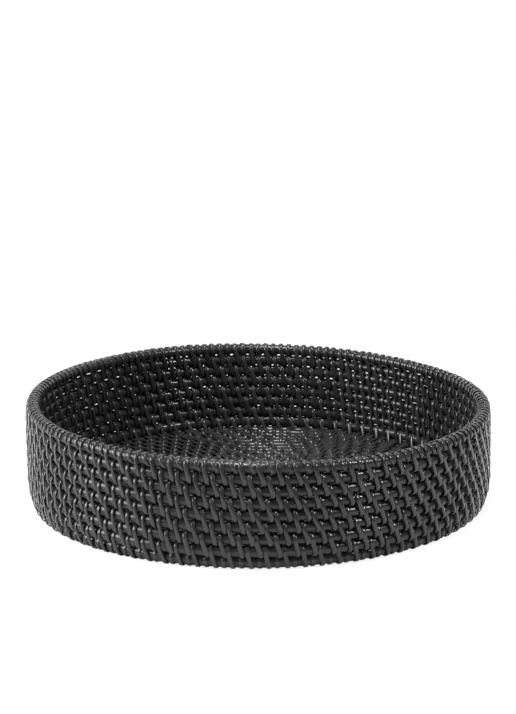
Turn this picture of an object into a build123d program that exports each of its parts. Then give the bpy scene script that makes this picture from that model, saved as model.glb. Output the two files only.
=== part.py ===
from build123d import *
import math
import os

# Woven fruit basket of stacked cane hoops bound with flat peel. It stands on the XY plane, +Z up,
# with the origin at the middle of its underside. Sizes are in mm and angles in degrees.

# Overall sizes
rim_diameter = 300.0  # over the binding on the outside of the rim
wall_rows = 9  # hoops in the wall, the rim included
foot_inset = 3.0  # how far the lowest hoop lies inside the wall, in radius
foot_rows = 2  # hoops over which the foot draws in
eye_radius = 2.6  # least hole left in the middle of the base

# Cane and peel
rod_diameter = 5.93  # round core cane
peel_width = 3.0  # flat peel that binds the hoops together
peel_thickness = 0.7
peel_clearance = 0.05  # between the peel and the cane inside it
layer_gap = 0.07  # between two peels that lie one on the other between hoops

# Stitching
stitch_spacing = 11.0  # along the wall, from stitch to stitch
row_shift = 0.47  # how far each row of wall stitches lags the one below, as a share of the spacing
base_spacing = 11.3  # along the base, from stitch to stitch
eye_spacing = 5.0  # the same at the inner ends of the stitches, where they crowd the eye
arm_shift = 4.4  # how far each round of base stitches leads the round inside it, along the hoop
stitch_drift = 2.0  # how far a base stitch strays from that lead to even out its neighbours
side_gap = 0.1  # least gap between two stitches side by side on a hoop
evening_passes = 20
golden_share = 0.618  # turns the places where a round has one stitch fewer, from round to round
base_group = 4  # rounds of base stitches that share one file

rod_radius = rod_diameter / 2
loop_radius = rod_radius + peel_clearance  # inside of the peel
bound_radius = loop_radius + peel_thickness  # outside of the peel
row_pitch = 2 * bound_radius + layer_gap
wall_radius = rim_diameter / 2 - bound_radius
row_stitches = round(2 * math.pi * wall_radius / stitch_spacing)
smallest_hoop = bound_radius + eye_radius
crossing_reach = math.sqrt(bound_radius**2 - loop_radius**2)  # how far inside a hoop two stitches can meet


def wallRadius(row):
    """Radius of a wall hoop's centre line; row 1 is the foot."""
    drawn_in = max(0.0, 1 - (row - 1) / foot_rows)
    return wall_radius - foot_inset * drawn_in**2


def wallHoops():
    """Radius and height of each wall hoop, from the foot up, each resting on the one below."""
    hoops = [(wallRadius(1), bound_radius)]
    for row in range(2, wall_rows + 1):
        radius, height = hoops[-1]
        step = wallRadius(row) - radius
        hoops.append((radius + step, height + math.sqrt(row_pitch**2 - step**2)))
    return hoops


def baseHoops():
    """Radius and height of each base hoop, from the middle out to the one inside the foot."""
    count = int((wallRadius(1) - smallest_hoop) / row_pitch)
    return [(wallRadius(1) - row_pitch * (count - i), bound_radius) for i in range(count)]


def hoop(radius, height):
    return Pos(0, 0, height) * Torus(radius, rod_radius)


def bend(radius):
    """How far the inside of a hoop curves away across the width of a straight peel."""
    inside = radius - rod_radius
    return inside - math.sqrt(inside**2 - (peel_width / 2) ** 2)


def loop(inner, outer):
    """One stitch in the plane of +X: a flat band around the hoops at two (radius, height) places."""
    start = inner[0] - bend(inner[0])
    across = Vector(outer[0] - start, 0, outer[1] - inner[1])
    middle = Vector(outer[0] + start, 0, outer[1] + inner[1]) / 2
    plane = Plane(origin=middle, x_dir=across, z_dir=(0, 1, 0))
    band = SlotCenterToCenter(across.length, 2 * bound_radius) - SlotCenterToCenter(
        across.length, 2 * loop_radius
    )
    return extrude(plane * band, amount=peel_width / 2, both=True)


def wrap(radius, height):
    """A short turn of peel around one hoop, in the plane of +X."""
    plane = Plane(origin=(radius, 0, height), x_dir=(1, 0, 0), z_dir=(0, 1, 0))
    return extrude(plane * (Circle(bound_radius) - Circle(loop_radius)), peel_width / 2, both=True)


def around(band, angles):
    return [Rot(0, 0, angle) * band for angle in angles]


def wallAngles(row):
    """Places of the stitches above wall hoop number row; row 0 binds the foot to the base."""
    step = 360 / row_stitches
    return [(i - row_shift * row) * step for i in range(row_stitches)]


def innerPlaces(outer, radius):
    """For each stitch of the round outside, a place for the next round's one beside it on the
    hoop they share, and the least and greatest angle it may have there."""
    mm = 180 / (math.pi * radius)
    half_width = (peel_width + side_gap) / 2
    spacing = 2 * math.degrees(math.atan(half_width / (radius - crossing_reach)))
    places = []
    for behind, angle in zip([outer[-1] - 360] + outer[:-1], outer):
        low, high = behind + spacing, angle - spacing
        place = min(max(angle - arm_shift * mm, low), high)
        drift = stitch_drift * mm
        places.append((place, max(low, place - drift), min(high, place + drift)))
    return places


def thinned(places, wanted, turn):
    """All but a few of the places; those left out are spread evenly from that share of a turn on."""
    spare = len(places) - wanted
    left_out = {int((i + turn % 1) * len(places) / spare) for i in range(spare)}
    return [place for i, place in enumerate(places) if i not in left_out]


def evened(places):
    """Each place moved towards the middle of its neighbours, within its own limits."""
    angles = [place for place, _, _ in places]
    for _ in range(evening_passes):
        behind = [angles[-1] - 360] + angles[:-1]
        ahead = angles[1:] + [angles[0] + 360]
        middles = [(b + a) / 2 for b, a in zip(behind, ahead)]
        angles = [min(max(m, low), high) for m, (_, low, high) in zip(middles, places)]
    return angles


def baseAngles(hoops):
    """Places of the base stitches, one list for each round from the outermost in."""
    rounds = [wallAngles(0)]
    for radius, _ in reversed(hoops[1:]):
        places = innerPlaces(rounds[-1], radius)
        by_spacing = (radius - row_pitch / 2) / base_spacing
        by_crowding = (radius - row_pitch - bound_radius) / eye_spacing
        wanted = int(2 * math.pi * min(by_spacing, by_crowding))
        rounds.append(evened(thinned(places, wanted, golden_share * len(rounds))))
    return rounds


def save(name, solids):
    shape = solids[0] if len(solids) == 1 else Compound(children=solids)
    export_step(shape, f"parts/{name}.step")


def main():
    os.makedirs("parts", exist_ok=True)
    wall = wallHoops()
    base = baseHoops()

    for number, place in enumerate(base, 1):
        save(f"base_rod_{number:02d}", [hoop(*place)])
    for number, place in enumerate(wall[:-1], 1):
        save(f"wall_rod_{number}", [hoop(*place)])
    save("rim_rod", [hoop(*wall[-1])])

    for number in range(1, wall_rows):
        band = loop(wall[number - 1], wall[number])
        save(f"wall_stitches_{number}", around(band, wallAngles(number)))
    half_step = 180 / row_stitches
    rim_angles = [angle + half_step for angle in wallAngles(wall_rows - 1)]
    save("rim_wraps", around(wrap(*wall[-1]), rim_angles))

    rounds = baseAngles(base)
    save("foot_stitches", around(loop(base[-1], wall[0]), rounds[0]))
    stitches = []
    for inner, outer, angles in zip(base, base[1:], reversed(rounds[1:])):
        stitches.append(around(loop(inner, outer), angles))
    for group in range(0, len(stitches), base_group):
        name = f"base_stitches_{group // base_group + 1}"
        save(name, sum(stitches[group : group + base_group], []))


main()
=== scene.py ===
import math

import bmesh
import bpy
import numpy as np
from mathutils import Matrix, Vector


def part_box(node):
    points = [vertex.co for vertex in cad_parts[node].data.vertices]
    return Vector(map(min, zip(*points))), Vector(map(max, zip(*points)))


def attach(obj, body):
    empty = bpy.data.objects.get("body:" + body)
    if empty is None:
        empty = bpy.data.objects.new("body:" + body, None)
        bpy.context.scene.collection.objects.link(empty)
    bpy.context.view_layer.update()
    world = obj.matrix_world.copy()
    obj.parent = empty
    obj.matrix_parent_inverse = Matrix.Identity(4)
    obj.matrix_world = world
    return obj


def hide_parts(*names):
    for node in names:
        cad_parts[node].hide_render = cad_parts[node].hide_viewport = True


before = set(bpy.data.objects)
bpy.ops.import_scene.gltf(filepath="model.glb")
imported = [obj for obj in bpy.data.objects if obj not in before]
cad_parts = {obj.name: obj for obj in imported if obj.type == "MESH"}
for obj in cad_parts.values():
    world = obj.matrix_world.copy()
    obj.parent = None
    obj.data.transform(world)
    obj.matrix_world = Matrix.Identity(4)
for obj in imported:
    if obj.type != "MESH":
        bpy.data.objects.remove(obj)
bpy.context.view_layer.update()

mm = 0.001
nodeNames = sorted(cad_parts)
print("frame loaded:", len(nodeNames), "nodes")


# real cane swells between its stitches, so it fills the gaps between the rows better than plain hoops do
fuller = 0.6 * mm
lift = fuller + 0.15 * mm  # keeps the thicker bindings off the floor
finest = 0.001 * mm  # corners of the frame's meshes nearer than this are one


def hoopPlace(node):
    low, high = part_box(node)
    rod = (high.z - low.z) / 2
    reach = max(high.x, high.y, -low.x, -low.y)
    return {"radius": reach - rod, "height": (high.z + low.z) / 2 + lift, "rod": rod + fuller}


def nodesLike(start):
    return [name for name in nodeNames if name.startswith(start)]


baseHoops = [hoopPlace(name) for name in nodesLike("base_rod")]
wallHoops = [hoopPlace(name) for name in nodesLike("wall_rod")] + [hoopPlace("rim_rod")]
rodRadius = wallHoops[-1]["rod"]


# the middle of each separate solid in a node: solids that share a corner get the lowest label among them
def islandMiddles(node):
    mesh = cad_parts[node].data
    count = len(mesh.vertices)
    points = np.empty(count * 3)
    mesh.vertices.foreach_get("co", points)
    points = points.reshape(-1, 3)
    mesh.calc_loop_triangles()
    corners = np.empty(len(mesh.loop_triangles) * 3, dtype=np.int64)
    mesh.loop_triangles.foreach_get("vertices", corners)
    rounded = np.round(points / finest).astype(np.int64)
    places, merged = np.unique(rounded, axis=0, return_inverse=True)
    triangles = merged.reshape(-1)[corners].reshape(-1, 3)
    label = np.arange(len(places))
    while True:
        lowest = label[triangles].min(axis=1)
        after = label.copy()
        np.minimum.at(after, triangles.ravel(), np.repeat(lowest, 3))
        after = after[after]
        if np.array_equal(after, label):
            break
        label = after
    middles = []
    for one in np.unique(label):
        own = places[label == one] * finest
        middles.append(Vector((own.min(axis=0) + own.max(axis=0)) / 2))
    return middles


def stitchTurns(node):
    middles = islandMiddles(node)
    return [(math.atan2(m.y, m.x), math.hypot(m.x, m.y)) for m in middles]


def newTree(name, inputs):
    tree = bpy.data.node_groups.new(name, "GeometryNodeTree")
    tree.interface.new_socket("Geometry", in_out="INPUT", socket_type="NodeSocketGeometry")
    for label, kind, value in inputs:
        socket = tree.interface.new_socket(label, in_out="INPUT", socket_type=kind)
        if value is not None:
            socket.default_value = value
    tree.interface.new_socket("Geometry", in_out="OUTPUT", socket_type="NodeSocketGeometry")
    return tree


def addNode(tree, kind, settings=None, **values):
    node = tree.nodes.new(kind)
    for key, value in (settings or {}).items():
        setattr(node, key, value)
    for key, value in values.items():
        plug(tree, value, node.inputs[key])
    return node


def plug(tree, value, socket):
    if isinstance(value, bpy.types.NodeSocket):
        tree.links.new(value, socket)
    else:
        socket.default_value = value


def applyTree(piece, tree, inputs):
    modifier = piece.modifiers.new(tree.name, "NODES")
    modifier.node_group = tree
    for item in tree.interface.items_tree:
        if item.item_type == "SOCKET" and item.in_out == "INPUT" and item.name in inputs:
            modifier[item.identifier] = inputs[item.name]
    graph = bpy.context.evaluated_depsgraph_get()
    mesh = bpy.data.meshes.new_from_object(piece.evaluated_get(graph), depsgraph=graph)
    piece.modifiers.remove(modifier)
    old = piece.data
    piece.data = mesh
    mesh.name = piece.name
    bpy.data.meshes.remove(old)
    return piece


def newPiece(name, mesh=None):
    piece = bpy.data.objects.new(name, mesh or bpy.data.meshes.new(name))
    bpy.context.scene.collection.objects.link(piece)
    return piece


def outward(mesh):
    work = bmesh.new()
    work.from_mesh(mesh)
    bmesh.ops.recalc_face_normals(work, faces=work.faces)
    work.to_mesh(mesh)
    work.free()


handMade = {
    "swell": 0.45 * mm,  # in and out, over long stretches
    "footShare": 0.3,  # how much of the swell is left at the foot
    "dip": 0.3 * mm,  # up and down, growing towards the rim
    "tilt": -0.019,  # the rim stands higher on one side than on the other
    # waves round the basket: how many, where they start, their share, and how far they turn up to the rim
    "swellWaves": [(2, 0.7, 1.0, 1), (5, 2.1, 0.6, 4)],
    "dipWaves": [(3, 1.3, 1.0, 0), (7, 0.0, 0.5, 0)],
}


def waves(kind, turn, rise):
    total = 0.0
    for count, start, share, twist in handMade[kind]:
        total = total + share * np.sin(count * turn + start + twist * rise)
    return total


def leanByHand(mesh):
    count = len(mesh.vertices)
    points = np.empty(count * 3)
    mesh.vertices.foreach_get("co", points)
    points = points.reshape(-1, 3)
    turn = np.arctan2(points[:, 1], points[:, 0])
    radius = np.hypot(points[:, 0], points[:, 1])
    share = np.clip(radius / wallHoops[-1]["radius"], 0, 1)
    rise = np.clip(points[:, 2] / wallHoops[-1]["height"], 0, 1)
    footShare = handMade["footShare"]
    push = handMade["swell"] * waves("swellWaves", turn, rise) * share**2
    push *= footShare + (1 - footShare) * rise
    raised = handMade["dip"] * waves("dipWaves", turn, rise) * rise
    raised += handMade["tilt"] * points[:, 0] * rise
    points[:, 0] += push * np.cos(turn)
    points[:, 1] += push * np.sin(turn)
    points[:, 2] += raised
    mesh.vertices.foreach_set("co", points.ravel())
    mesh.update()


def newMaterial(name):
    material = bpy.data.materials.new(name)
    material.use_nodes = True
    tree = material.node_tree
    shader = tree.nodes["Principled BSDF"]
    return material, tree, shader


def ramp(tree, factor, stops):
    node = addNode(tree, "ShaderNodeValToRGB", None, Fac=factor)
    elements = node.color_ramp.elements
    while len(elements) < len(stops):
        elements.new(0.5)
    for element, (place, colour) in zip(elements, stops):
        element.position = place
        element.color = (*colour, 1)
    return node.outputs["Color"]


def maths(tree, operation, first, second=0.0):
    node = tree.nodes.new("ShaderNodeMath")
    node.operation = operation
    plug(tree, first, node.inputs[0])
    plug(tree, second, node.inputs[1])
    return node.outputs[0]


def joined(tree, x, y, z):
    node = tree.nodes.new("ShaderNodeCombineXYZ")
    for value, socket in zip((x, y, z), node.inputs):
        plug(tree, value, socket)
    return node.outputs[0]


def noise(tree, vector, detail, rough, fourth=None):
    node = tree.nodes.new("ShaderNodeTexNoise")
    node.noise_dimensions = "3D" if fourth is None else "4D"
    plug(tree, vector, node.inputs["Vector"])
    if fourth is not None:
        plug(tree, fourth, node.inputs["W"])
    node.inputs["Scale"].default_value = 1.0
    node.inputs["Detail"].default_value = detail
    node.inputs["Roughness"].default_value = rough
    return node.outputs["Fac"]


# roughness goes from rough in the grain's hollows to smooth on its ridges
def grainRoughness(tree, grain, rough, smooth):
    node = tree.nodes.new("ShaderNodeMapRange")
    plug(tree, grain, node.inputs["Value"])
    node.inputs["From Min"].default_value = 0.3
    node.inputs["From Max"].default_value = 0.7
    node.inputs["To Min"].default_value = rough
    node.inputs["To Max"].default_value = smooth
    return node.outputs[0]


caneFinish = {
    "stain": (0.0098, 0.0094, 0.0097),
    "stainWorn": (0.0170, 0.0157, 0.0156),
    "roughness": 0.2,
    "shine": 0.185,
    "grainDepth": 0.022 * mm,
    "grainFine": 1400.0,  # noise cells to the metre across the cane
    "grainRound": 6.0,  # and in the hoop's whole turn, along it
    "patchFine": 420.0,
    "patchRound": 22.0,
}


def stainedCane():
    material, tree, shader = newMaterial("black stained core cane")
    place = tree.nodes.new("ShaderNodeTexCoord").outputs["Object"]
    split = tree.nodes.new("ShaderNodeSeparateXYZ")
    plug(tree, place, split.inputs[0])
    x, y, z = split.outputs
    squares = maths(tree, "ADD", maths(tree, "MULTIPLY", x, x), maths(tree, "MULTIPLY", y, y))
    radius = maths(tree, "SQRT", squares)
    acrossX = maths(tree, "DIVIDE", x, radius)
    acrossY = maths(tree, "DIVIDE", y, radius)

    # across the cane the pattern is fine, along it it is drawn out
    def drawnOut(fine, along, detail, rough):
        section = joined(tree, maths(tree, "MULTIPLY", radius, fine), maths(tree, "MULTIPLY", z, fine),
                         maths(tree, "MULTIPLY", acrossX, along))
        return noise(tree, section, detail, rough, maths(tree, "MULTIPLY", acrossY, along))

    grain = drawnOut(caneFinish["grainFine"], caneFinish["grainRound"], 4.0, 0.65)
    patches = drawnOut(caneFinish["patchFine"], caneFinish["patchRound"], 3.0, 0.6)
    colour = ramp(tree, patches, [(0.35, caneFinish["stain"]), (0.72, caneFinish["stainWorn"])])
    plug(tree, colour, shader.inputs["Base Color"])
    roughness = caneFinish["roughness"]
    rough = grainRoughness(tree, grain, roughness + 0.12, roughness - 0.08)
    plug(tree, rough, shader.inputs["Roughness"])
    shader.inputs["Specular IOR Level"].default_value = caneFinish["shine"]
    bump = addNode(tree, "ShaderNodeBump", None, Strength=0.8, Height=grain,
                   Distance=caneFinish["grainDepth"])
    plug(tree, bump.outputs[0], shader.inputs["Normal"])
    return material


peelFinish = {
    "stain": (0.0098, 0.0094, 0.0096),
    "stainWorn": (0.0185, 0.0172, 0.0171),
    "roughness": 0.14,
    "shine": 0.27,
    "grainDepth": 0.009 * mm,
    "lines": (9.0, 1.6),  # noise cells across the strip, and along it in one strip's width
    "blotches": (1.3, 3.0),
    "ownShare": 0.4,  # how much of a strip's stain is its own, against the blotches in it
    "apart": 37.0,  # keeps one strip's pattern clear of the next one's
}


def glossyPeel():
    material, tree, shader = newMaterial("black stained rattan peel")
    strip = tree.nodes.new("ShaderNodeUVMap")
    strip.uv_map = "UVMap"
    split = tree.nodes.new("ShaderNodeSeparateXYZ")
    plug(tree, strip.outputs[0], split.inputs[0])
    own = tree.nodes.new("ShaderNodeAttribute")
    own.attribute_name = "tone"
    tone = own.outputs["Fac"]
    shift = maths(tree, "MULTIPLY", tone, peelFinish["apart"])

    def onStrip(cells, detail, rough):
        across, along = cells
        place = joined(tree, maths(tree, "MULTIPLY", split.outputs[0], across),
                       maths(tree, "MULTIPLY", split.outputs[1], along), shift)
        return noise(tree, place, detail, rough)

    grain = onStrip(peelFinish["lines"], 3.0, 0.6)
    stain = onStrip(peelFinish["blotches"], 2.0, 0.5)
    ownShare = peelFinish["ownShare"]
    mixed = maths(tree, "ADD", maths(tree, "MULTIPLY", stain, 1 - ownShare),
                  maths(tree, "MULTIPLY", tone, ownShare))
    colour = ramp(tree, mixed, [(0.3, peelFinish["stain"]), (0.75, peelFinish["stainWorn"])])
    plug(tree, colour, shader.inputs["Base Color"])
    roughness = peelFinish["roughness"]
    rough = grainRoughness(tree, grain, roughness + 0.1, roughness - 0.06)
    plug(tree, rough, shader.inputs["Roughness"])
    shader.inputs["Specular IOR Level"].default_value = peelFinish["shine"]
    bump = addNode(tree, "ShaderNodeBump", None, Strength=0.6, Height=grain,
                   Distance=peelFinish["grainDepth"])
    plug(tree, bump.outputs[0], shader.inputs["Normal"])
    return material


caneMaterial = stainedCane()
peelMaterial = glossyPeel()
print("finishes made: core cane and peel")


# every hoop and row of stitches draws its own chances, counted up from these
seeds = {"wallHoop": 40, "rimHoop": 60, "wall": 100, "base": 200, "foot": 300, "rim": 400}

hoopLook = {
    "stepsRound": 240,
    "stepsAcross": 12,
    "wobble": 0.42 * mm,  # how far the cane strays in its hoop
    "footExtra": 0.3 * mm,  # the two lowest hoops close the slanting gap at the foot
    "topLess": 0.13 * mm,  # the two hoops under the rim lie a little looser, so light comes through
    "unevenness": 0.05,  # how much its thickness varies, as a share
    "strayFine": 32.0,  # noise cells to the metre, for the wobble
    "girthFine": 90.0,  # and for the thickness
    "fullAt": 0.6,  # noise at which the cane has its full thickness
}


def hoopTree():
    tree = newTree("caneHoop", [
        ("Radius", "NodeSocketFloat", 0.1),
        ("Height", "NodeSocketFloat", 0.0),
        ("Cane Radius", "NodeSocketFloat", 0.003),
        ("Wobble", "NodeSocketFloat", 0.0),
        ("Unevenness", "NodeSocketFloat", 0.0),
        ("Seed", "NodeSocketFloat", 0.0),
        ("Cane", "NodeSocketMaterial", None),
    ])
    source = tree.nodes.new("NodeGroupInput").outputs
    circle = addNode(tree, "GeometryNodeCurvePrimitiveCircle", {"mode": "RADIUS"},
                     Resolution=hoopLook["stepsRound"], Radius=source["Radius"])
    place = tree.nodes.new("GeometryNodeInputPosition").outputs[0]
    stray = addNode(tree, "ShaderNodeTexNoise", {"noise_dimensions": "4D"},
                    Vector=place, W=source["Seed"], Scale=hoopLook["strayFine"], Detail=2.0)
    centred = addNode(tree, "ShaderNodeVectorMath", {"operation": "SUBTRACT"})
    plug(tree, stray.outputs["Color"], centred.inputs[0])
    centred.inputs[1].default_value = (0.5, 0.5, 0.5)
    scaled = tree.nodes.new("ShaderNodeVectorMath")
    scaled.operation = "SCALE"
    plug(tree, centred.outputs[0], scaled.inputs[0])
    # the noise seldom leaves the middle third of its range
    plug(tree, maths(tree, "MULTIPLY", source["Wobble"], 3.0), scaled.inputs["Scale"])
    raised = addNode(tree, "ShaderNodeVectorMath", {"operation": "ADD"})
    plug(tree, scaled.outputs[0], raised.inputs[0])
    plug(tree, joined(tree, 0.0, 0.0, source["Height"]), raised.inputs[1])
    moved = addNode(tree, "GeometryNodeSetPosition", None, Geometry=circle.outputs["Curve"],
                    Offset=raised.outputs[0])
    girth = addNode(tree, "ShaderNodeTexNoise", {"noise_dimensions": "4D"},
                    Vector=place, W=source["Seed"], Scale=hoopLook["girthFine"], Detail=1.0)
    thinner = maths(tree, "SUBTRACT", girth.outputs["Fac"], hoopLook["fullAt"])
    thinner = maths(tree, "MULTIPLY", thinner, source["Unevenness"])
    size = maths(tree, "ADD", maths(tree, "MULTIPLY", thinner, 2.0), 1.0)
    section = addNode(tree, "GeometryNodeCurvePrimitiveCircle", {"mode": "RADIUS"},
                      Resolution=hoopLook["stepsAcross"], Radius=source["Cane Radius"])
    swept = addNode(tree, "GeometryNodeCurveToMesh")
    plug(tree, moved.outputs[0], swept.inputs["Curve"])
    plug(tree, section.outputs["Curve"], swept.inputs["Profile Curve"])
    plug(tree, size, swept.inputs["Scale"])
    smooth = addNode(tree, "GeometryNodeSetShadeSmooth", None, Geometry=swept.outputs[0])
    real = addNode(tree, "GeometryNodeRealizeInstances", None, Geometry=smooth.outputs[0])
    done = addNode(tree, "GeometryNodeSetMaterial", None, Geometry=real.outputs[0], Material=source["Cane"])
    sink = tree.nodes.new("NodeGroupOutput")
    tree.links.new(done.outputs[0], sink.inputs[0])
    return tree


def makeHoop(name, node, tree, seed, extra=0.0):
    hoop = hoopPlace(node)
    piece = newPiece(name)
    applyTree(piece, tree, {
        "Radius": hoop["radius"], "Height": hoop["height"], "Cane Radius": hoop["rod"] + extra,
        "Wobble": hoopLook["wobble"], "Unevenness": hoopLook["unevenness"], "Seed": float(seed),
        "Cane": caneMaterial,
    })
    leanByHand(piece.data)
    outward(piece.data)
    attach(piece, "root")
    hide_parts(node)
    return piece


caneHoopTree = hoopTree()
for number, node in enumerate(nodesLike("base_rod"), 1):
    makeHoop(f"baseHoop{number:02d}", node, caneHoopTree, number)
for number, node in enumerate(nodesLike("wall_rod"), 1):
    extra = 0.0
    if number < 3:
        extra = hoopLook["footExtra"]
    if number > 6:
        extra = -hoopLook["topLess"]
    makeHoop(f"wallHoop{number}", node, caneHoopTree, seeds["wallHoop"] + number, extra)
makeHoop("rimHoop", "rim_rod", caneHoopTree, seeds["rimHoop"])
print("hoops made:", len(baseHoops), "in the base,", len(wallHoops), "in the wall")


peelLook = {
    "width": 3.0 * mm,
    "steps": 5,  # round each half turn
    "thickness": 0.7 * mm,
    "clearance": 0.2 * mm,  # between the peel and the cane
    "proud": 0.75 * mm,  # how far the outside leans out over the lower hoop
    "slide": 0.35 * mm,  # how far a stitch strays along its row
    "skew": 0.06,  # how far it turns on the spot, in radians
    "girth": 0.06,  # how much its width varies, as a share
    "baseLoose": 0.25,  # the base and the foot are stitched more evenly than the wall
    "footLoose": 0.4,
}

# across the strip: place from its middle in half widths, and height in peel thicknesses
stripSection = [(-1.0, 0.1), (-0.86, 0.62), (-0.42, 0.95), (0.42, 0.95), (0.86, 0.62), (1.0, 0.1)]


def eased(share):
    return share * share * (3 - 2 * share)


# the path runs once round two hoops from the crown of the upper one, as (outward, upward) places with their
# normals; proud is how far the outside stands off the lower hoop
def pathRound(apart, radius, steps, proud=0.0):
    half = apart / 2
    places = []
    for i in range(steps + 1):
        turn = math.pi / 2 * (1 - i / steps)
        places.append((radius * math.cos(turn), half + radius * math.sin(turn)))
    places.append((radius, 0.0))
    for i in range(2 * steps + 1):
        turn = -math.pi * i / (2 * steps)
        places.append((radius * math.cos(turn), -half + radius * math.sin(turn)))
    places.append((-radius, 0.0))
    for i in range(steps + 1):
        turn = math.pi * (1 - 0.5 * i / steps)
        places.append((radius * math.cos(turn), half + radius * math.sin(turn)))
    top, reach = half + radius, apart + radius
    leant = []
    for out, up in places:
        share = min(1.0, (top - up) / reach)
        leant.append((out + proud * share * max(0.0, out) / radius, up))
    path = []
    for i, (out, up) in enumerate(leant):
        before, after = leant[max(0, i - 1)], leant[min(len(leant) - 1, i + 1)]
        along = Vector((after[0] - before[0], after[1] - before[1])).normalized()
        path.append((out, up, -along.y, along.x))
    return path


def stripMesh(name, path, slides, frameOut, frameUp):
    thickness = peelLook["thickness"]
    along = frameUp.cross(frameOut)
    mesh = bpy.data.meshes.new(name)
    points, faces, uvs = [], [], []
    wide = len(stripSection)
    distance = 0.0
    last = None
    for (out, up, outN, upN), slide in zip(path, slides):
        middle = frameOut * out + frameUp * up + along * slide
        normal = frameOut * outN + frameUp * upN
        if last is not None:
            distance += (middle - last).length
        last = middle
        for side, high in stripSection:
            points.append(middle + along * (side * peelLook["width"] / 2) + normal * (high * thickness))
            uvs.append((side * 0.5 + 0.5, distance / peelLook["width"]))
    rows = len(path)
    for row in range(rows - 1):
        for column in range(wide):
            other = (column + 1) % wide
            here, there = row * wide, (row + 1) * wide
            faces.append((here + column, here + other, there + other, there + column))
    faces.append(tuple(range(wide)))
    faces.append(tuple((rows - 1) * wide + i for i in reversed(range(wide))))
    mesh.from_pydata([p[:] for p in points], [], faces)
    layer = mesh.uv_layers.new(name="UVMap")
    for loop in mesh.loops:
        layer.data[loop.index].uv = uvs[loop.vertex_index]
    for face in mesh.polygons:
        face.use_smooth = len(face.vertices) == 4
    outward(mesh)
    return mesh


# how far each place on the path lies along the row, eased from one given slide to the next
def slidesFor(path, outer, inner):
    steps = peelLook["steps"]
    crownStart, outUpper, outLower = outer
    inLower, inUpper, crownEnd = inner
    outMiddle = outUpper + 0.45 * (outLower - outUpper)
    keys = [(0, crownStart), (steps, outUpper), (steps + 1, outMiddle), (steps + 2, outLower),
            (2 * steps + 2, (outLower + inLower) / 2), (3 * steps + 2, inLower),
            (3 * steps + 3, (inLower + inUpper) / 2), (3 * steps + 4, inUpper), (4 * steps + 4, crownEnd)]
    slides = []
    for i in range(len(path)):
        after = next(k for k in range(1, len(keys)) if keys[k][0] >= i)
        (a, first), (b, second) = keys[after - 1], keys[after]
        slides.append((first + (second - first) * eased((i - a) / (b - a))) * mm)
    return slides


def stitchTree():
    tree = newTree("stitchesAtPlaces", [
        ("Stitch", "NodeSocketObject", None),
        ("Slide", "NodeSocketFloat", 0.0),
        ("Skew", "NodeSocketFloat", 0.0),
        ("Girth", "NodeSocketFloat", 0.0),
        ("Seed", "NodeSocketInt", 0),
        ("Peel", "NodeSocketMaterial", None),
    ])
    group = tree.nodes.new("NodeGroupInput").outputs
    source = addNode(tree, "GeometryNodeObjectInfo", {"transform_space": "ORIGINAL"}, Object=group["Stitch"])
    source.inputs["As Instance"].default_value = True
    turn = addNode(tree, "GeometryNodeInputNamedAttribute", {"data_type": "FLOAT"}, Name="turn").outputs[0]

    def spread(amount, offset):
        low = maths(tree, "MULTIPLY", amount, -1.0)
        seed = maths(tree, "ADD", group["Seed"], float(offset))
        node = tree.nodes.new("FunctionNodeRandomValue")
        node.data_type = "FLOAT"
        floats = [s for s in node.inputs if s.type == "VALUE"]
        plug(tree, low, floats[0])
        plug(tree, amount, floats[1])
        plug(tree, seed, node.inputs["Seed"])
        return next(s for s in node.outputs if s.type == "VALUE")

    facing = joined(tree, 0.0, 0.0, turn)
    placed = addNode(tree, "GeometryNodeInstanceOnPoints", None, Points=group["Geometry"],
                     Instance=source.outputs["Geometry"], Rotation=facing)
    slid = addNode(tree, "GeometryNodeTranslateInstances", None, Instances=placed.outputs[0],
                   Translation=joined(tree, 0.0, spread(group["Slide"], 1), 0.0))
    skewed = addNode(tree, "GeometryNodeRotateInstances", None, Instances=slid.outputs[0],
                     Rotation=joined(tree, spread(group["Skew"], 2), 0.0, spread(group["Skew"], 3)))
    width = maths(tree, "ADD", spread(group["Girth"], 4), 1.0)
    sized = addNode(tree, "GeometryNodeScaleInstances", None, Instances=skewed.outputs[0],
                    Scale=joined(tree, 1.0, width, 1.0))
    toneNode = tree.nodes.new("FunctionNodeRandomValue")
    toneNode.data_type = "FLOAT"
    tone = next(s for s in toneNode.outputs if s.type == "VALUE")
    kept = addNode(tree, "GeometryNodeStoreNamedAttribute", {"data_type": "FLOAT", "domain": "INSTANCE"},
                   Geometry=sized.outputs[0], Name="tone", Value=tone)
    real = addNode(tree, "GeometryNodeRealizeInstances", None, Geometry=kept.outputs[0])
    done = addNode(tree, "GeometryNodeSetMaterial", None, Geometry=real.outputs[0], Material=group["Peel"])
    sink = tree.nodes.new("NodeGroupOutput")
    tree.links.new(done.outputs[0], sink.inputs[0])
    return tree


def pointsMesh(name, places, height):
    mesh = bpy.data.meshes.new(name)
    mesh.from_pydata([(r * math.cos(t), r * math.sin(t), height) for t, r in places], [], [])
    turns = mesh.attributes.new("turn", "FLOAT", "POINT")
    for i, (turn, _) in enumerate(places):
        turns.data[i].value = turn
    return mesh


def makeStitches(name, node, template, places, height, tree, seed, looseness=1.0):
    piece = newPiece(name, pointsMesh(name, places, height))
    stitch = bpy.data.objects.new(name + "Stitch", template)
    bpy.context.scene.collection.objects.link(stitch)
    applyTree(piece, tree, {
        "Stitch": stitch, "Slide": peelLook["slide"] * looseness, "Skew": peelLook["skew"] * looseness,
        "Girth": peelLook["girth"], "Seed": seed, "Peel": peelMaterial,
    })
    bpy.data.objects.remove(stitch)
    bpy.data.meshes.remove(template)
    leanByHand(piece.data)
    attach(piece, "root")
    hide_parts(node)
    return piece


placesTree = stitchTree()
loopReach = rodRadius + peelLook["clearance"]

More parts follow.
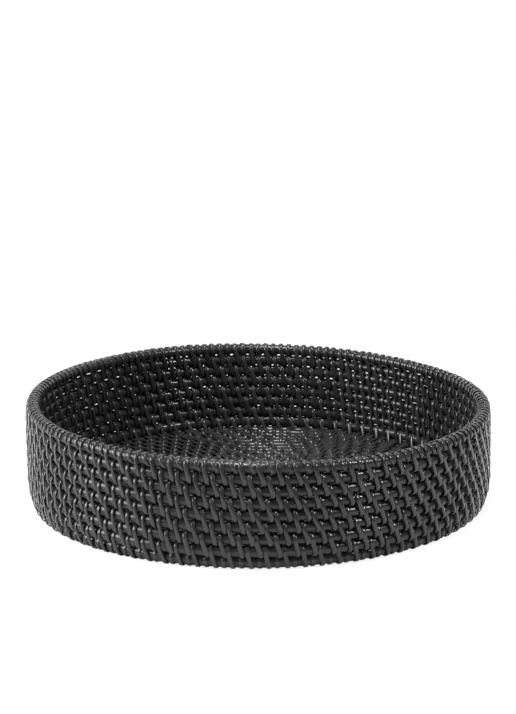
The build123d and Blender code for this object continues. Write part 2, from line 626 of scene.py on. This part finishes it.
# place along the row, in mm, at the crown's start, the upper hoop and the lower hoop outside, then the
# way back inside
wallSlides = {"outer": (-2.6, -2.3, 0.0), "inner": (0.3, 2.4, 2.7)}


def wallTemplate(name, lower, upper, slides):
    across = Vector((upper["radius"] - lower["radius"], 0, upper["height"] - lower["height"]))
    up = across.normalized()
    out = Vector((up.z, 0, -up.x))
    path = pathRound(across.length, loopReach, peelLook["steps"], peelLook["proud"])
    return stripMesh(name, path, slidesFor(path, slides["outer"], slides["inner"]), out, up)


for row, node in enumerate(nodesLike("wall_stitches")):
    lower, upper = wallHoops[row], wallHoops[row + 1]
    template = wallTemplate(f"wallStitch{row + 1}", lower, upper, wallSlides)
    middle = (lower["radius"] + upper["radius"]) / 2
    places = [(turn, middle) for turn, _ in stitchTurns(node)]
    makeStitches(f"wallBinding{row + 1}", node, template, places, (lower["height"] + upper["height"]) / 2,
                 placesTree, seeds["wall"] + row)
print("wall stitches made:", len(wallHoops) - 1, "rows")

# the base is bound the same way, with its outside underneath
baseSlides = {"outer": (-1.7, -1.5, -0.9), "inner": (-0.65, 0.65, 1.1)}
basePitch = baseHoops[1]["radius"] - baseHoops[0]["radius"]
for number, node in enumerate(nodesLike("base_stitches"), 1):
    path = pathRound(basePitch, loopReach, peelLook["steps"])
    slides = slidesFor(path, baseSlides["outer"], baseSlides["inner"])
    template = stripMesh(f"baseStitch{number}", path, slides, Vector((0, 0, -1)), Vector((1, 0, 0)))
    makeStitches(f"baseBinding{number}", node, template, stitchTurns(node), baseHoops[0]["height"],
                 placesTree, seeds["base"] + number, peelLook["baseLoose"])
print("base stitches made")

# the foot stitches show round the outside of the lowest hoop, so their ends are tucked in the base
footSlides = {"outer": (-1.0, -0.8, -0.5), "inner": (-0.2, 0.9, 1.2)}
footPath = pathRound(wallHoops[0]["radius"] - baseHoops[-1]["radius"], loopReach, peelLook["steps"])
slides = slidesFor(footPath, footSlides["outer"], footSlides["inner"])
footTemplate = stripMesh("footStitch", footPath, slides, Vector((0, 0, 1)), Vector((-1, 0, 0)))
makeStitches("footBinding", "foot_stitches", footTemplate, stitchTurns("foot_stitches"),
             baseHoops[0]["height"], placesTree, seeds["foot"], peelLook["footLoose"])
print("foot stitches made")

# the rim's short wraps carry on from one long stitch to the next
rim = wallHoops[-1]
wrapLook = {
    "reach": 2.9 * mm,  # along the rim, from the wrap's middle to its ends
    "even": 0.25,  # the share of the way that it goes evenly; the rest it goes on the outside
    "early": 1.6,  # how much sooner that rest is done
}


def wrapTemplate():
    steps = peelLook["steps"]
    path, slides = [], []
    for i in range(4 * steps + 1):
        share = i / (4 * steps)
        turn = math.pi / 2 - 2 * math.pi * share
        path.append((loopReach * math.cos(turn), loopReach * math.sin(turn), math.cos(turn), math.sin(turn)))
        outside = eased(min(1.0, share * wrapLook["early"]))
        gone = wrapLook["even"] * share + (1 - wrapLook["even"]) * outside
        slides.append(wrapLook["reach"] * (2 * gone - 1))
    return stripMesh("rimWrap", path, slides, Vector((1, 0, 0)), Vector((0, 0, 1)))


rimPlaces = [(turn, rim["radius"]) for turn, _ in stitchTurns("rim_wraps")]
makeStitches("rimWraps", "rim_wraps", wrapTemplate(), rimPlaces, rim["height"], placesTree,
             seeds["rim"])
print("rim wraps made")


studio = {
    "floorColour": (0.7, 0.7, 0.7),
    "floorSize": 6.0,
    "floorFront": -0.5,  # the table ends here, so that what faces up and forwards mirrors the dimmer room
    "shadowShare": 0.16,  # how much of the floor's own shading the camera sees beside the basket
    "shadowFrom": 0.2,  # the share shrinks from this distance
    "shadowReach": 0.55,  # and past this one the floor is plain white to the camera
    "room": 0.37,  # strength of the even light from all round
}

# place, what it points at, width and height in metres, and power in watts
lamps = {
    "overhead": ((-0.12, -0.04, 1.45), (0, 0, 0), 0.3, 0.3, 16.0),
    "frontBox": ((-0.14, -1.0, 4.0), (0, -0.1, 0.03), 0.42, 0.48, 100.0),
    "backPanel": ((0.0, 1.5, 0.95), (0, 0, 0.1), 3.4, 1.7, 24.0),
    "leftBox": ((-1.25, -0.27, 0.6), (0, 0, 0.03), 1.0, 0.8, 47.0),
    "rightStrip": ((0.87, -0.54, 0.95), (0, 0, 0.03), 0.14, 0.4, 19.0),
}


def makeFloor():
    half = studio["floorSize"] / 2
    mesh = bpy.data.meshes.new("floor")
    front = studio["floorFront"]
    corners = [(-half, front, 0), (half, front, 0), (half, half, 0), (-half, half, 0)]
    mesh.from_pydata(corners, [], [(0, 1, 2, 3)])
    floor = newPiece("floor", mesh)
    material, tree, shader = newMaterial("pale floor")
    shader.inputs["Base Color"].default_value = (*studio["floorColour"], 1)
    shader.inputs["Roughness"].default_value = 0.9
    shader.inputs["Specular IOR Level"].default_value = 0.0
    place = tree.nodes.new("ShaderNodeTexCoord").outputs["Object"]
    away = addNode(tree, "ShaderNodeVectorMath", {"operation": "LENGTH"})
    plug(tree, place, away.inputs[0])
    fade = tree.nodes.new("ShaderNodeMapRange")
    fade.interpolation_type = "SMOOTHSTEP"
    plug(tree, away.outputs["Value"], fade.inputs["Value"])
    fade.inputs["From Min"].default_value = studio["shadowFrom"]
    fade.inputs["From Max"].default_value = studio["shadowReach"]
    fade.inputs["To Min"].default_value = 1 - studio["shadowShare"]
    fade.inputs["To Max"].default_value = 1.0
    paths = tree.nodes.new("ShaderNodeLightPath")
    glow = addNode(tree, "ShaderNodeEmission", None, Color=(1, 1, 1, 1), Strength=1.0)
    mix = tree.nodes.new("ShaderNodeMixShader")
    plug(tree, maths(tree, "MULTIPLY", paths.outputs["Is Camera Ray"], fade.outputs[0]), mix.inputs[0])
    tree.links.new(shader.outputs[0], mix.inputs[1])
    tree.links.new(glow.outputs[0], mix.inputs[2])
    tree.links.new(mix.outputs[0], tree.nodes["Material Output"].inputs["Surface"])
    mesh.materials.append(material)
    return floor


def makeWorld():
    world = bpy.data.worlds.new("studio")
    world.use_nodes = True
    tree = world.node_tree
    room = tree.nodes["Background"]
    room.inputs["Color"].default_value = (1, 1, 1, 1)
    room.inputs["Strength"].default_value = studio["room"]
    white = addNode(tree, "ShaderNodeBackground", None, Color=(1, 1, 1, 1), Strength=1.0)
    paths = tree.nodes.new("ShaderNodeLightPath")
    mix = tree.nodes.new("ShaderNodeMixShader")
    plug(tree, paths.outputs["Is Camera Ray"], mix.inputs[0])
    tree.links.new(room.outputs[0], mix.inputs[1])
    tree.links.new(white.outputs[0], mix.inputs[2])
    tree.links.new(mix.outputs[0], tree.nodes["World Output"].inputs["Surface"])
    bpy.context.scene.world = world


def makeLamp(name, place, aim, width, height, power):
    lamp = bpy.data.lights.new(name, "AREA")
    lamp.shape = "RECTANGLE"
    lamp.size, lamp.size_y = width, height
    lamp.energy = power
    holder = bpy.data.objects.new(name, lamp)
    bpy.context.scene.collection.objects.link(holder)
    holder.location = place
    holder.rotation_euler = (Vector(aim) - Vector(place)).to_track_quat("-Z", "Y").to_euler()
    holder.visible_camera = False


makeFloor()
makeWorld()
for name, lamp in lamps.items():
    makeLamp(name, *lamp)

view = {
    "elevation": 15.364,  # down to the middle of the rim, in degrees
    "distance": 1.70,
    "lens": 131.2,
    "pitch": 14.335,
    "roll": -0.542,
}


def makeCamera():
    camera = bpy.data.cameras.new("camera")
    camera.lens = view["lens"]
    camera.sensor_width = 36.0
    camera.clip_start = 0.05
    holder = bpy.data.objects.new("camera", camera)
    bpy.context.scene.collection.objects.link(holder)
    down = math.radians(view["elevation"])
    place = Vector((0, -math.cos(down), math.sin(down))) * view["distance"] + Vector((0, 0, rim["height"]))
    tip = Matrix.Rotation(math.radians(90 - view["pitch"]), 4, "X")
    roll = Matrix.Rotation(math.radians(view["roll"]), 4, "Z")
    holder.matrix_world = Matrix.Translation(place) @ tip @ roll
    bpy.context.scene.camera = holder


makeCamera()
bpy.context.scene.view_settings.view_transform = "Standard"
print("studio made")
